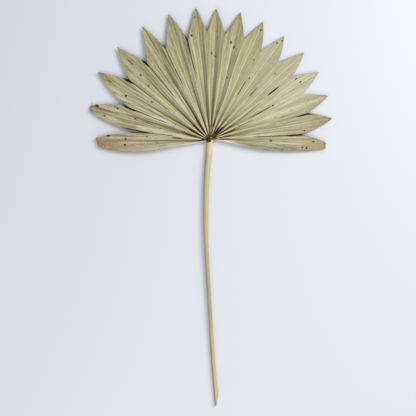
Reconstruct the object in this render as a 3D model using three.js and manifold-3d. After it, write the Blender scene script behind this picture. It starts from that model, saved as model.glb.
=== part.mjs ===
// A dried fan palm leaf, cut with its stem, trimmed to points and lying flat with its upper side up.
// Millimetres, +Z up. The blade opens towards +Y and the stem runs towards -Y. The origin is on the
// surface that the leaf lies on, under the middle of the leaf's length and width.
import * as THREE from "three";
import { mergeVertices } from "three/addons/utils/BufferGeometryUtils.js";
import Module from "manifold-3d";

// Driving dimensions of the blade. Its folds run out from a hub, where it is joined to the stem.
const HUB_RIM = 5.4; // radius of the blade's inner edge, round the end of the stem
const BLADE_THICKNESS = 0.6; // measured upright
const PLEAT_DEPTH = 7; // from the bottom of a fold to the crests beside it, well out on the blade
const PLEAT_RISE = 18; // distance from the hub over which the folds deepen
const HUB_LIFT = 3; // the folds climb by this much to reach the middle of the stem
const HUB_LIFT_RUN = 22; // distance over which they climb
const TIP_LIFT = 3; // the tips stand this far off the surface
const TIP_CURL = 5; // the higher it is, the later a lobe begins to rise to its tip
const ROW_STEP = 6.5; // spacing of the blade's cross lines
const SPLIT_GAP = 0.45; // half the width of a split at its open end
const POINTED_TAPER = 1.15; // how full a pointed lobe stays on the way to its tip
const BLUNT_TAPER = 1.8; // the same for a blunt one

// The lobes of the fan, clockwise from the left, as seen from above with the stem at the bottom:
// the direction of the fold down the middle in degrees, the reach of the tip from the hub,
// and half the width of the tip where it is blunt.
const LOBES = [
  { fold: 181.5, reach: 173, blunt: 5 },
  { fold: 165.3, reach: 187, blunt: 4 },
  { fold: 149, reach: 198, blunt: 0 },
  { fold: 135, reach: 199, blunt: 0 },
  { fold: 121, reach: 200, blunt: 0 },
  { fold: 108.5, reach: 201, blunt: 0 },
  { fold: 96.4, reach: 201, blunt: 0 },
  { fold: 87.7, reach: 198, blunt: 0 },
  { fold: 76.8, reach: 197, blunt: 0 },
  { fold: 66.1, reach: 195, blunt: 0 },
  { fold: 54.8, reach: 192.5, blunt: 0 },
  { fold: 43.2, reach: 193, blunt: 0 },
  { fold: 32.3, reach: 192, blunt: 0 },
  { fold: 20.9, reach: 189.5, blunt: 0 },
  { fold: 10.4, reach: 186.5, blunt: 0 },
  { fold: -2.6, reach: 174, blunt: 4.7 },
];

// The crests between the lobes, and the blade's two outer edges, in the same order: the direction,
// how far out the notch between two tips begins, and how far in the blade has split along the crest.
const CRESTS = [
  { direction: 190.5, notch: 65, split: 0 },
  { direction: 174.1, notch: 95, split: 69 },
  { direction: 158.3, notch: 133, split: 115 },
  { direction: 143.3, notch: 152, split: 139 },
  { direction: 129, notch: 152, split: 135 },
  { direction: 115.6, notch: 155, split: 148 },
  { direction: 102.4, notch: 156, split: 110 },
  { direction: 91.7, notch: 165, split: 158 },
  { direction: 82.2, notch: 161, split: 154 },
  { direction: 71.6, notch: 160, split: 153 },
  { direction: 60.6, notch: 156, split: 149 },
  { direction: 48.9, notch: 155, split: 148 },
  { direction: 37.5, notch: 158, split: 151 },
  { direction: 26.5, notch: 153, split: 146 },
  { direction: 15.8, notch: 152, split: 133 },
  { direction: 3.9, notch: 132, split: 110 },
  { direction: -13.5, notch: 40, split: 0 },
];

// Driving dimensions of the stem, which bows off the surface between the blade and its cut end.
const STEM_WIDTHS = [9.2, 8.6, 7.4, 6.2, 5.8, 5.6, 5.6, 5.8, 6]; // evenly spaced, from the hub down
const STEM_FLATNESS = 0.8; // its height is this share of its width
const STEM_SIDES = 14;
const STEM_RINGS = 40;
const STEM_DOME_STEPS = 4; // rings of the rounded end under the hastula
const STEM_BOW = 2.5; // how far the middle of the stem stands off the surface
const STEM_LINE = [
  [0, STEM_WIDTHS[0] / 2],
  [-2.6, -30],
  [-5.6, -66],
  [-7.2, -130],
  [-4.8, -190],
  [-1, -256],
  [3.8, -330],
  [9.8, -400.3],
]; // its middle line, seen from above, from its rounded end round the hub to its foot
const CUT_LENGTH = 13; // the slanting cut at the foot of the stem
const CUT_WIDTH = 4.6; // the part of the stem's width that the cut crosses
const CUT_POINT = 0.6; // its point is this share of half the width to the right of the middle

// Driving dimensions of the hastula, the woody crust on the upper side where stem and blade meet, with
// a papery tongue over the ends of the middle folds.
const HASTULA_OUTLINE = [
  [-3.4, -3],
  [-6, 2.4],
  [-4.4, 7.6],
  [-3.6, 15],
  [0.2, 24.5],
  [3.8, 15],
  [6.2, 8.4],
  [8.4, 4],
  [4.2, -2.4],
]; // seen from above, from the left of its root on the stem round to the right
const HASTULA_THICKNESS = 1.2;
const HASTULA_BEVEL = 0.5;
const SEAT_GAP = 0.45; // between the hastula and the stem under it, at the stem's rounded end

const { degToRad } = THREE.MathUtils;

// The blade

const pleatDepth = (radius) => PLEAT_DEPTH * (1 - Math.exp(-radius / PLEAT_RISE));

// Height of the bottom of a fold: high at the hub, on the surface halfway out, up again at the tip.
function foldHeight(lobe, radius) {
  const hub = HUB_LIFT * Math.exp(-(radius - HUB_RIM) / HUB_LIFT_RUN);
  return hub + TIP_LIFT * (radius / lobe.reach) ** TIP_CURL;
}

// Angle from a lobe's fold to its edge on the side of a crest, and the share that is left of the
// full angle. The edge follows the crest, opens along the split, then tapers from the notch to the tip.
function lobeEdge(lobe, crest, radius) {
  const full = Math.abs(degToRad(crest.direction - lobe.fold));
  let share = 1;
  if (radius > crest.notch) {
    const blunt = lobe.blunt / (lobe.reach * full);
    const taper = lobe.blunt ? BLUNT_TAPER : POINTED_TAPER;
    const gone = ((radius - crest.notch) / (lobe.reach - crest.notch)) ** taper;
    share = blunt + (1 - blunt) * (1 - gone);
  }
  if (crest.split && radius > crest.split) {
    const open = Math.min(1, (radius - crest.split) / (crest.notch - crest.split));
    share = Math.max(0, share - (open * SPLIT_GAP) / (radius * full));
  }
  return { angle: full * share, share };
}

// A closed plate from a skin of triangles seen from above: the same skin under it, and a wall
// along every edge that only one triangle has.
function plateGeometry(points, triangles, thickness) {
  const count = points.length;
  const under = points.map((p) => new THREE.Vector3(p.x, p.y, p.z - thickness));
  const faces = [];
  const edges = new Set();
  for (const [a, b, c] of triangles) {
    faces.push(a, b, c, a + count, c + count, b + count);
    for (const [from, to] of [[a, b], [b, c], [c, a]]) edges.add(`${from} ${to}`);
  }
  for (const edge of edges) {
    const [from, to] = edge.split(" ").map(Number);
    if (edges.has(`${to} ${from}`)) continue;
    faces.push(from, from + count, to, to, from + count, to + count);
  }
  const geometry = new THREE.BufferGeometry().setFromPoints([...points, ...under]);
  geometry.setIndex(faces);
  geometry.computeVertexNormals();
  return geometry;
}

// The pleated blade: each lobe has a fold down its middle and a panel rising from it on each side.
// Inside the splits, neighbouring lobes share the points of the crest between them.
function bladeGeometry() {
  const points = [];
  const shared = new Map();

  function point(radius, angle, height) {
    const z = height + BLADE_THICKNESS;
    return points.push(new THREE.Vector3(radius * Math.cos(angle), radius * Math.sin(angle), z)) - 1;
  }

  function edgePoint(lobe, crestNumber, radius, side) {
    const crest = CRESTS[crestNumber];
    const key = `${crestNumber} ${radius}`;
    const isShared = radius <= crest.split;
    if (isShared && shared.has(key)) return shared.get(key);
    const { angle, share } = lobeEdge(lobe, crest, radius);
    const height = foldHeight(lobe, radius) + pleatDepth(radius) * share;
    const made = point(radius, degToRad(lobe.fold) + side * angle, height);
    if (isShared) shared.set(key, made);
    return made;
  }

  const triangles = [];
  LOBES.forEach((lobe, number) => {
    const rows = [];
    for (let radius = HUB_RIM; radius < lobe.reach - ROW_STEP / 2; radius += ROW_STEP) {
      rows.push([
        edgePoint(lobe, number, radius, 1),
        point(radius, degToRad(lobe.fold), foldHeight(lobe, radius)),
        edgePoint(lobe, number + 1, radius, -1),
      ]);
    }
    if (lobe.blunt) {
      rows.push([
        edgePoint(lobe, number, lobe.reach, 1),
        point(lobe.reach, degToRad(lobe.fold), foldHeight(lobe, lobe.reach)),
        edgePoint(lobe, number + 1, lobe.reach, -1),
      ]);
    }
    for (let row = 0; row + 1 < rows.length; row++) {
      const [left, fold, right] = rows[row];
      const [outerLeft, outerFold, outerRight] = rows[row + 1];
      triangles.push([left, fold, outerFold], [left, outerFold, outerLeft]);
      triangles.push([fold, right, outerRight], [fold, outerRight, outerFold]);
    }
    if (!lobe.blunt) {
      const tip = point(lobe.reach, degToRad(lobe.fold), foldHeight(lobe, lobe.reach));
      const [left, fold, right] = rows.at(-1);
      triangles.push([left, fold, tip], [fold, right, tip]);
    }
  });
  return plateGeometry(points, triangles, BLADE_THICKNESS);
}

// The stem

const wasm = await Module();
wasm.setup();

function solidOf(geometry) {
  const bare = geometry.clone();
  bare.deleteAttribute("normal");
  bare.deleteAttribute("uv");
  const merged = mergeVertices(bare);
  return new wasm.Manifold(
    new wasm.Mesh({
      numProp: 3,
      vertProperties: merged.attributes.position.array,
      triVerts: new Uint32Array(merged.index.array),
    }),
  );
}

function geometryOf(solid) {
  const { vertProperties, triVerts } = solid.getMesh();
  const geometry = new THREE.BufferGeometry();
  geometry.setAttribute("position", new THREE.BufferAttribute(vertProperties, 3));
  geometry.setIndex(new THREE.BufferAttribute(triVerts, 1));
  geometry.computeVertexNormals();
  return geometry;
}

// Half the stem's width at a share of its length from the hub.
function stemRadius(share) {
  const place = share * (STEM_WIDTHS.length - 1);
  const before = Math.min(Math.floor(place), STEM_WIDTHS.length - 2);
  return THREE.MathUtils.lerp(STEM_WIDTHS[before], STEM_WIDTHS[before + 1], place - before) / 2;
}

// The stem's middle line, high enough for its underside to bow off the surface and come down at its foot.
function stemCurve() {
  const line = STEM_LINE.map(([x, y], number) => {
    const share = number / (STEM_LINE.length - 1);
    const bow = STEM_BOW * Math.sin(Math.PI * share);
    return new THREE.Vector3(x, y, bow + stemRadius(share) * STEM_FLATNESS);
  });
  return new THREE.CatmullRomCurve3(line);
}

// A tapered rod with a domed top, turned on a lathe, flattened and laid along the middle line.
function stemRod(curve) {
  const length = curve.getLength();
  const dome = stemRadius(0);
  const profile = [];
  for (let step = 0; step < STEM_DOME_STEPS; step++) {
    const turn = (step / STEM_DOME_STEPS) * (Math.PI / 2);
    profile.push(new THREE.Vector2(dome * Math.sin(turn), dome * (1 - Math.cos(turn))));
  }
  for (let ring = 0; ring <= STEM_RINGS; ring++) {
    const along = THREE.MathUtils.lerp(dome, length, ring / STEM_RINGS);
    profile.push(new THREE.Vector2(stemRadius(along / length), along));
  }
  profile.push(new THREE.Vector2(0, length));

  const rod = new THREE.LatheGeometry(profile, STEM_SIDES);
  const position = rod.attributes.position;
  const place = new THREE.Vector3();
  const up = new THREE.Vector3(0, 0, 1);
  for (let i = 0; i < position.count; i++) {
    place.fromBufferAttribute(position, i);
    const share = place.y / length;
    const tangent = curve.getTangentAt(share);
    const side = new THREE.Vector3().crossVectors(tangent, up).normalize();
    const top = new THREE.Vector3().crossVectors(side, tangent);
    const middle = curve.getPointAt(share);
    middle.addScaledVector(side, place.x).addScaledVector(top, place.z * STEM_FLATNESS);
    position.setXYZ(i, middle.x, middle.y, middle.z);
  }
  return rod;
}

// The foot of the stem is cut on a slant, which leaves a point on its right.
function stemGeometry() {
  const curve = stemCurve();
  const foot = curve.getPointAt(1);
  const waste = 3 * CUT_LENGTH; // a block wide enough to take all that lies beyond the cut
  const knife = new THREE.BoxGeometry(waste, waste, waste);
  knife.translate(-waste / 2, 0, 0);
  knife.rotateZ(Math.atan2(CUT_WIDTH, CUT_LENGTH));
  knife.translate(foot.x + CUT_POINT * stemRadius(1), foot.y, foot.z);
  return geometryOf(solidOf(stemRod(curve)).subtract(solidOf(knife)));
}

// The hastula

// A flat tongue with a broad, uneven root.
function hastulaGeometry() {
  const [root, ...lip] = HASTULA_OUTLINE.map(([x, y]) => new THREE.Vector2(x, y));
  const outline = new THREE.Shape();
  outline.moveTo(root.x, root.y);
  outline.splineThru(lip);
  outline.closePath();
  return new THREE.ExtrudeGeometry(outline, {
    depth: HASTULA_THICKNESS - 2 * HASTULA_BEVEL,
    bevelThickness: HASTULA_BEVEL,
    bevelSize: HASTULA_BEVEL,
    bevelOffset: -HASTULA_BEVEL,
    bevelSegments: 2,
    curveSegments: 3,
  });
}

// Putting the leaf together

function piece(name, geometry, look) {
  const mesh = new THREE.Mesh(geometry, new THREE.MeshStandardMaterial({ metalness: 0, ...look }));
  mesh.name = name;
  return mesh;
}

const blade = piece("blade", bladeGeometry(), { color: 0xb8b18b, roughness: 0.75 });
const stem = piece("stem", stemGeometry(), { color: 0xc7b78e, roughness: 0.6 });
const hastula = piece("hastula", hastulaGeometry(), { color: 0x5a4628, roughness: 0.9 });
const stemTop = 2 * stemRadius(0) * STEM_FLATNESS;
hastula.position.z = stemTop + SEAT_GAP + HASTULA_BEVEL;

const leaf = new THREE.Group();
leaf.add(blade, stem, hastula);

// The box round the leaf is centred on the origin and stands on the surface.
const box = new THREE.Box3().setFromObject(leaf, true);
const middle = box.getCenter(new THREE.Vector3());
leaf.position.set(-middle.x, -middle.y, -box.min.z);

export default leaf;
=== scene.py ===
import math
import random
from collections import namedtuple
from functools import partialmethod

import bpy
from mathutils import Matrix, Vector


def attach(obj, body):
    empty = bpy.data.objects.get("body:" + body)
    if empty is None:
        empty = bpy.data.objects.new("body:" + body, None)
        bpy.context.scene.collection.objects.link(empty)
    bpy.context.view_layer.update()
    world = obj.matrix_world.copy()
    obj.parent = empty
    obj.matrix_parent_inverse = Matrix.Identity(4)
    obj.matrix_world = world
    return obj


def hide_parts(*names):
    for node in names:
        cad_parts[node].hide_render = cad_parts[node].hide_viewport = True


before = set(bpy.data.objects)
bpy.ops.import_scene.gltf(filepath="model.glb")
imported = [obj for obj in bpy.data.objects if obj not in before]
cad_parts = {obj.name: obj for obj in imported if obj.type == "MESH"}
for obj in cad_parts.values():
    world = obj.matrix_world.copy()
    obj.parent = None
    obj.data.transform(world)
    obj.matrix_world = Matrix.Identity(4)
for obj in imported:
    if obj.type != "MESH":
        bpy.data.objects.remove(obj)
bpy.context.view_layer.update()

# The surface that the leaf lies on: a plain pale board, seen from straight above, under a large soft
# light from the upper right and a weaker one from the foot. All is in metres, with the stem towards -Y.
MM = 0.001
PICTURE_WIDTH = 628.6 * MM
PICTURE_MIDDLE = Vector((-5.0, -1.8, 0)) * MM
LENS = 85
SENSOR = 36
BOARD_SIZE = 12
BOARD_COLOUR = (0.80, 0.82, 0.88, 1)
BOARD_ROUGHNESS = 0.9
# Place, size and power of each.
SOFTBOXES = {
    "softbox_right": ((1.0, 0.68, 1.08), 0.9, 15.5),
    "softbox_below": ((-0.16, -0.9, 0.92), 1.1, 5.6),
}
ROOM_COLOUR = (0.97, 0.97, 1, 1)
ROOM_LIGHT = 0.425

scene = bpy.context.scene
scene.view_settings.view_transform = "Standard"

lens = bpy.data.cameras.new("camera")
lens.lens = LENS
lens.sensor_width = SENSOR
camera = bpy.data.objects.new("camera", lens)
camera.location = PICTURE_MIDDLE + Vector((0, 0, PICTURE_WIDTH * LENS / SENSOR))
scene.collection.objects.link(camera)
scene.camera = camera

for name, (place, size, power) in SOFTBOXES.items():
    bulb = bpy.data.lights.new(name, "AREA")
    bulb.size = size
    bulb.energy = power
    softbox = bpy.data.objects.new(name, bulb)
    softbox.location = place
    softbox.rotation_euler = Vector(place).to_track_quat("Z", "Y").to_euler()
    scene.collection.objects.link(softbox)

room = bpy.data.worlds.new("room")
room.use_nodes = True
room.node_tree.nodes["Background"].inputs["Color"].default_value = ROOM_COLOUR
room.node_tree.nodes["Background"].inputs["Strength"].default_value = ROOM_LIGHT
scene.world = room

board_paint = bpy.data.materials.new("board_paint")
board_paint.use_nodes = True
board_shader = board_paint.node_tree.nodes["Principled BSDF"]
board_shader.inputs["Base Color"].default_value = BOARD_COLOUR
board_shader.inputs["Roughness"].default_value = BOARD_ROUGHNESS
half = BOARD_SIZE / 2
board_mesh = bpy.data.meshes.new("board")
board_corners = [(-half, -half, 0), (half, -half, 0), (half, half, 0), (-half, half, 0)]
board_mesh.from_pydata(board_corners, [], [(0, 1, 2, 3)])
board_mesh.materials.append(board_paint)
board = bpy.data.objects.new("board", board_mesh)
scene.collection.objects.link(board)


# The blade is one sheet of dried leaf, pleated like a fan round the hub and cut to points by hand.
# Each lobe is folded down its middle, and neighbours are joined along the crest between them, or
# have split there on drying, so that one edge lies over the other.
HUB = Vector((-1.19, 100.21, 0)) * MM
RIM = 5.4 * MM
FURTHEST = 201 * MM
THICKNESS = 0.4 * MM
COLUMNS = 43
ROWS = 66

PLEAT_DEPTH = 7 * MM
PLEAT_RISE = 11 * MM
BED = 0.5 * MM
HUB_LIFT = 2.6 * MM
HUB_LIFT_RUN = 18 * MM
TIP_LIFT = 1.8 * MM
TIP_SNAP = 0.7 * MM
TWIST_RUN = 26 * MM
WARP_HEIGHT = 1.6 * MM
WARP_SIZE = 70 * MM
SWAY = 1.2 * MM
SWAY_STARTS = (15 * MM, 90 * MM)
RIPPLES = 2.4
RIPPLE_HEIGHT = 0.36 * MM
ROUNDING_RIPPLE = 0.5 * MM
LAP_RUN = 30 * MM
GAP_RUN = 11 * MM
LAP = 0.6 * MM
LAP_RISE = 1.3 * MM
LAP_DROP = 1.4 * MM
# Painted shadow along lapped edges and cracks: the width of the line where edges begin to lap and the run
# over which it grows, the width of a crack's dark band against the crack's own, and how far the softer
# halo round the lapped edges spreads.
LAP_SHADOW_LINE = 1.3 * MM
LINE_RUN = 12 * MM
CRACK_SHADE = 11
CREVICE_SHADE_HALO = 1.5
PAST_NOTCH = 14 * MM
NOWHERE = 1.0
SAME_PLACE = 0.002 * MM

# Clockwise from the left: the direction of the fold in degrees and its twist at the hub, the reach of
# the tip, half the width of a blunt tip, its slant and what its left corner lacks in millimetres, the
# height of the ripples, the lift of the tip, the length of the dark root, how pale (or dark), beige,
# green and brown-tipped it is, and how full its left and right edges are beyond the notches.
LOBE_ANGLES = ("fold", "twist")
LOBE_LENGTHS = ("reach", "blunt", "slant", "corner", "ripple", "lift", "root")
LOBE_LOOKS = ("pale", "beige", "green", "brown")
Lobe = namedtuple("Lobe", (*LOBE_ANGLES, *LOBE_LENGTHS, *LOBE_LOOKS, "full_left", "full_right"))
LOBES = [
    Lobe(181.5, 0, 172, 8.2, 2.0, 8, 0.24, 0.8, 16, 0.05, 0.95, 0.1, 1.15, 2.1, 1.8),
    Lobe(165.3, 3.5, 187.5, 4.6, 0.5, 2.5, 0.28, 0.4, 14, 0.1, 0.55, 0.2, 0.25, 1.85, 1.3),
    Lobe(149.0, 9, 199, 0, 0, 0, 0.28, 1.0, 32, 0.1, 0.3, 0.3, 0.05, 1.1, 0.9),
    Lobe(135.0, 11, 199.5, 0, 0, 0, 0.26, 1.0, 32, -0.25, 0.12, 0.4, 0.05, 0.95, 0.9),
    Lobe(121.0, 9, 200.5, 0, 0, 0, 0.26, 1.2, 36, -0.3, 0.05, 0.4, 0.05, 0.8, 0.85),
    Lobe(108.5, 3, 201, 0, 0, 0, 0.25, 0.8, 9, -0.35, 0.25, 0.5, 0.2, 0.85, 0.9),
    Lobe(96.4, -1, 201, 0, 0, 0, 0.18, 0.6, 14, -0.4, 0.15, 0.4, 0.3, 0.95, 0.9),
    Lobe(87.7, -3, 199, 0, 0, 0, 0.12, 0.5, 12, -0.25, 0.1, 0.2, 0.35, 0.9, 1.05),
    Lobe(76.8, 3, 198.5, 0, 0, 0, 0.14, 0.6, 8, -0.4, 0.15, 0.2, 0.5, 0.85, 1.0),
    Lobe(66.1, 3, 196, 0, 0, 0, 0.06, 0.4, 16, -0.42, 0.05, 0.4, 0.05, 1.0, 1.0),
    Lobe(54.8, 2, 193, 0, 0, 0, 0.05, 0, 22, -0.25, 0.05, 0.8, 0.05, 1.0, 1.05),
    Lobe(43.2, 4, 193.5, 0, 0, 0, 0.06, 0, 26, 0.0, 0.3, 0.6, 0.15, 1.05, 1.0),
    Lobe(32.3, 6.5, 192.5, 0, 0, 0, 0.09, 0.4, 30, 0.5, 0.35, 0.3, 0.05, 0.9, 1.1),
    Lobe(20.9, 9, 190, 0, 0, 0, 0.16, 0.6, 30, 0.55, 0.2, 0.6, 0.1, 1.1, 1.05),
    Lobe(10.4, 8, 187, 0, 0, 0, 0.22, 0.4, 24, 0.15, 0.65, 0.5, 0.65, 1.05, 1.4),
    Lobe(-2.8, 17, 174, 4.8, 0, 0, 0.20, 0.4, 8, 0.2, 0.5, 0.3, 0.4, 1.2, 1.3),
]

# The crests between the lobes and the two outer edges, in the same order: direction, height as a share
# of the pleat's depth, distance of the notch between the tips, distances where the edges part and where
# they stand open, the width of that gap (where one lobe lies on the other, the width of the painted
# shadow on the lower one), and which lobe lies on top (1 the next one, -1 the one before).
# A crack in a crest has its two ends and its width.
Crest = namedtuple("Crest", "direction level notch part open gap top crack", defaults=(None,))
CRESTS = [
    Crest(190.5, 1.0, 65, None, None, 0, 0),
    Crest(174.1, 0.8, 80, 50, 82, 0.6, -1),
    Crest(157.8, 0.65, 133, 66, 116, 1.7, 1),
    Crest(143.3, 0.6, 151, 72, 140, 2.6, 1),
    Crest(129.0, 0.6, 150.5, 80, 140, 2.3, 1),
    Crest(115.6, 0.65, 153, 88, 150, 0.6, 1),
    Crest(102.4, 0.75, 153.5, 100, 130, 0.9, 1),
    Crest(91.7, 0.9, 163, None, 156, 0.5, 0),
    Crest(82.2, 0.9, 159.5, None, 152, 0.5, 0),
    Crest(71.6, 0.55, 160, None, 151, 0.5, 0),
    Crest(60.6, 0.3, 156, None, 148, 0.5, 0),
    Crest(48.9, 0.18, 155, None, 147, 0.5, 0),
    Crest(38.0, 0.15, 158, None, 150, 0.6, 0, (109, 132, 0.2)),
    Crest(26.5, 0.2, 153, None, 146, 0.6, 0),
    Crest(15.8, 0.4, 152, 128, 132, 1.1, -1),
    Crest(3.9, 0.6, 132, 60, 110, 1.4, -1),
    Crest(-12.0, 0.95, 46, None, None, 0, 0),
]

# The stains that drying left along the folds, and the painted shade and painted highlights laid along
# them: the direction in degrees and distance from the hub in millimetres of one end and of the other, the
# width, and how dark (below 0) or pale it is.
STREAK_ANGLES = ("turn_in", "turn_out")
STREAK_LENGTHS = ("reach_in", "reach_out", "width")
Streak = namedtuple("Streak", "turn_in reach_in turn_out reach_out width tone")
STREAKS = [Streak(*row) for row in [
    (170, 7, 186.5, 20, 2.8, -1), (180.1, 36, 180, 160, 1.6, -0.45), (183.7, 42, 183.8, 155, 1.6, -0.4),
    (176.5, 43, 176.2, 57, 2.0, -1), (173.3, 88, 171.9, 143, 2.8, -0.95),
    (167.3, 13, 162.6, 50, 2.2, -0.65), (162.5, 12, 161.5, 42, 4.0, -0.35),
    (163.6, 46, 162.6, 140, 2.8, -0.55), (163.7, 146, 163.8, 186, 2.0, -0.6),
    (157.0, 12, 152, 38, 2.2, -1), (152, 36, 149.8, 120, 2.6, -0.6), (149.5, 170, 149.4, 182, 1.7, -1),
    (142.5, 9, 138, 36, 2.3, -1), (138, 36, 135, 145, 2.8, -0.65), (135.6, 162, 135.4, 178, 1.7, -1),
    (126, 10, 123.8, 28, 1.8, -0.8), (124.6, 27, 122.4, 44, 2.3, -1), (122.4, 42, 121, 145, 3.0, -0.7),
    (131.5, 12, 130.5, 38, 4.0, -0.3), (118.3, 95, 119, 185, 8.0, -0.3),
    (111.5, 95, 110.5, 190, 7.0, -0.13), (120.8, 145, 120.7, 192, 2.0, -0.5),
    (108.2, 14, 108.6, 42, 1.5, -0.5), (108.6, 42, 108.2, 150, 2.0, -0.5),
    (95.2, 22, 94.3, 150, 3.2, -0.25), (85.2, 24, 86, 180, 3.0, -0.35), (81.5, 19, 77, 34, 2.2, -0.85),
    (74.8, 40, 74.8, 165, 3.2, -0.25), (72.6, 46, 72.4, 145, 1.5, -0.6), (68, 11, 67, 24, 2.2, -0.8),
    (59.5, 77, 58.9, 106, 1.5, -1), (57.6, 32, 57.4, 70, 5.0, -0.2), (56.4, 9, 55.8, 24, 4.6, -1),
    (56.2, 22, 55.3, 42, 1.8, -0.6), (48.5, 86, 48.4, 107, 1.5, -1), (46.2, 32, 46, 70, 5.0, -0.2),
    (46, 9, 45, 28, 4.6, -1), (44.5, 24, 43.8, 40, 1.5, -0.7), (35.2, 14, 34.6, 44, 2.1, -1),
    (34.5, 38, 37.3, 96, 2.0, -0.5), (29.7, 66, 29.4, 108, 1.5, -0.9), (25.3, 14, 24.2, 42, 2.0, -1),
    (25.9, 32, 26.4, 72, 1.4, -0.6), (13.8, 16, 13.2, 34, 1.9, -0.95), (13, 55, 12.6, 108, 8.0, -0.14),
    (5.4, 13, 4.4, 30, 2.0, -0.9), (-8.2, 42, -6.6, 165, 12.0, -0.26),
    (17.5, 150, 18.8, 184, 6.0, -0.2), (186.2, 28, 186, 68, 8.0, 0.6),
    (185.7, 70, 185.8, 145, 3.0, 0.4), (181.9, 32, 181.9, 150, 2.4, 0.55),
    (178.3, 42, 178.2, 160, 3.0, 0.5), (171.6, 34, 170.8, 68, 5.5, 0.75),
    (166.3, 40, 165.4, 90, 1.8, 0.5), (170.2, 66, 169.3, 115, 8.0, 0.75),
    (156.3, 66, 157.6, 95, 2.6, 0.85), (153, 40, 151.8, 140, 1.8, 0.45),
    (147.4, 90, 147.2, 150, 1.6, 0.4), (146.2, 58, 145.6, 120, 9.0, 0.3),
    (132.3, 58, 131.8, 120, 9.0, 0.32), (118.6, 58, 118.2, 120, 9.0, 0.32),
    (105.4, 58, 105.2, 120, 8.0, 0.2), (93.8, 58, 93.8, 120, 6.0, 0.15), (74, 58, 74, 120, 8.0, 0.14),
    (141, 50, 140.4, 115, 2.6, 0.5), (138.8, 36, 137.2, 85, 1.8, 0.5), (128, 55, 127.6, 110, 2.6, 0.5),
    (125, 36, 123.8, 90, 1.8, 0.5), (117.2, 36, 116.8, 140, 1.6, 0.45),
    (112.6, 14, 111.6, 64, 4.5, 0.45), (113.6, 65, 113.4, 115, 2.0, 0.45),
    (104.6, 74, 103.6, 88, 2.6, 0.6), (97, 45, 96.7, 150, 1.8, 0.4), (82.4, 60, 82.2, 140, 1.4, 0.35),
    (77.6, 50, 77.2, 150, 1.6, 0.4), (74.5, 13, 73.8, 42, 3.0, 0.6), (71.4, 40, 71.6, 150, 1.4, 0.6),
    (31.4, 14, 30.6, 42, 3.0, 0.85), (22.3, 66, 21.9, 140, 3.0, 0.5), (9.8, 55, 9, 82, 2.6, 0.7),
    (5.9, 52, 5.4, 100, 2.6, 0.6), (-1.6, 12, -2, 40, 2.8, 0.85), (1.2, 14, 0.8, 40, 2.6, 0.6),
    (-2.3, 40, -2.4, 145, 2.2, 0.55),
]]
STREAK_FADE = 0.22
STREAK_WANDER = math.radians(1.6)
STREAK_RAGGED = 6 * MM


class Field:
    """A number inside a node tree: sums of Fields add the Math nodes that work them out."""

    def __init__(self, tree, socket):
        self.tree = tree
        self.socket = socket

    def math(self, operation, *others):
        node = self.tree.nodes.new("ShaderNodeMath")
        node.operation = operation
        for socket, value in zip(node.inputs, (self, *others)):
            plug(self.tree, value, socket)
        return Field(self.tree, node.outputs[0])

    __add__ = __radd__ = partialmethod(math, "ADD")
    __sub__ = partialmethod(math, "SUBTRACT")
    __mul__ = __rmul__ = partialmethod(math, "MULTIPLY")
    __truediv__ = partialmethod(math, "DIVIDE")
    __pow__ = partialmethod(math, "POWER")
    __abs__ = partialmethod(math, "ABSOLUTE")
    at_least = partialmethod(math, "MAXIMUM")
    at_most = partialmethod(math, "MINIMUM")
    sin = partialmethod(math, "SINE")
    cos = partialmethod(math, "COSINE")

    def __rsub__(self, other):
        return self * -1 + other

    def within(self, low, high):
        """0 at low, 1 at high, with a soft start and end."""
        node = self.tree.nodes.new("ShaderNodeMapRange")
        node.interpolation_type = "SMOOTHSTEP"
        for socket, value in zip(node.inputs, (self, low, high)):
            plug(self.tree, value, socket)
        return Field(self.tree, node.outputs[0])

    def before(self, low, high):
        """1 at low, 0 at high, with a soft start and end."""
        return 1 - self.within(low, high)

    def between(self, rise, full, fade, end):
        """0 up to rise, 1 from full to fade, and 0 again from end."""
        return self.within(rise, full) * self.before(fade, end)

    def decay(self, run):
        """1 at 0, falling off over each run."""
        return (self * (-1 / run)).math("EXPONENT")


def plug(tree, value, socket):
    """Links a Field or a socket to an input, or sets the input to a plain value."""
    if isinstance(value, Field):
        tree.links.new(value.socket, socket)
    elif isinstance(value, bpy.types.NodeSocket):
        tree.links.new(value, socket)
    else:
        socket.default_value = value


def add(tree, kind, values=None, **settings):
    """Adds a node, with its settings by name and the values of its inputs by their labels."""
    node = tree.nodes.new(kind)
    for name, value in settings.items():
        setattr(node, name, value)
    for name, value in (values or {}).items():
        plug(tree, value, node.inputs[name])
    return node


def result(tree, kind, values=None, **settings):
    """The first output of a new node."""
    return add(tree, kind, values, **settings).outputs[0]


def vector(tree, x, y, z):
    return result(tree, "ShaderNodeCombineXYZ", {"X": x, "Y": y, "Z": z})


def vector_math(tree, operation, first, other):
    label = "Scale" if operation == "SCALE" else 1
    return result(tree, "ShaderNodeVectorMath", {0: first, label: other}, operation=operation)


def split(tree, place):
    """The three numbers of a place."""
    node = add(tree, "ShaderNodeSeparateXYZ", {"Vector": place})
    return [Field(tree, socket) for socket in node.outputs]


def noise(tree, place, scale=1.0, detail=2.0):
    """Smooth random values from 0 to 1, at a place or at the place that three numbers give."""
    if isinstance(place, tuple):
        place = vector(tree, *place)
    values = {"Vector": place, "Scale": scale, "Detail": detail}
    return Field(tree, result(tree, "ShaderNodeTexNoise", values))


def new_tree(name, sizes, surface=False):
    """An empty geometry tree with a named input for each size, and those inputs as Fields."""
    tree = bpy.data.node_groups.new(name, "GeometryNodeTree")
    sockets = {"Geometry": "Geometry", **dict.fromkeys(sizes, "Float")}
    if surface:
        sockets["Surface"] = "Object"
    sockets["Finish"] = "Material"
    for label, kind in sockets.items():
        tree.interface.new_socket(label, in_out="INPUT", socket_type="NodeSocket" + kind)
    tree.interface.new_socket("Geometry", in_out="OUTPUT", socket_type="NodeSocketGeometry")
    start = tree.nodes.new("NodeGroupInput")
    fields = {size: Field(tree, start.outputs[size]) for size in sizes}
    return tree, start, fields


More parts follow.
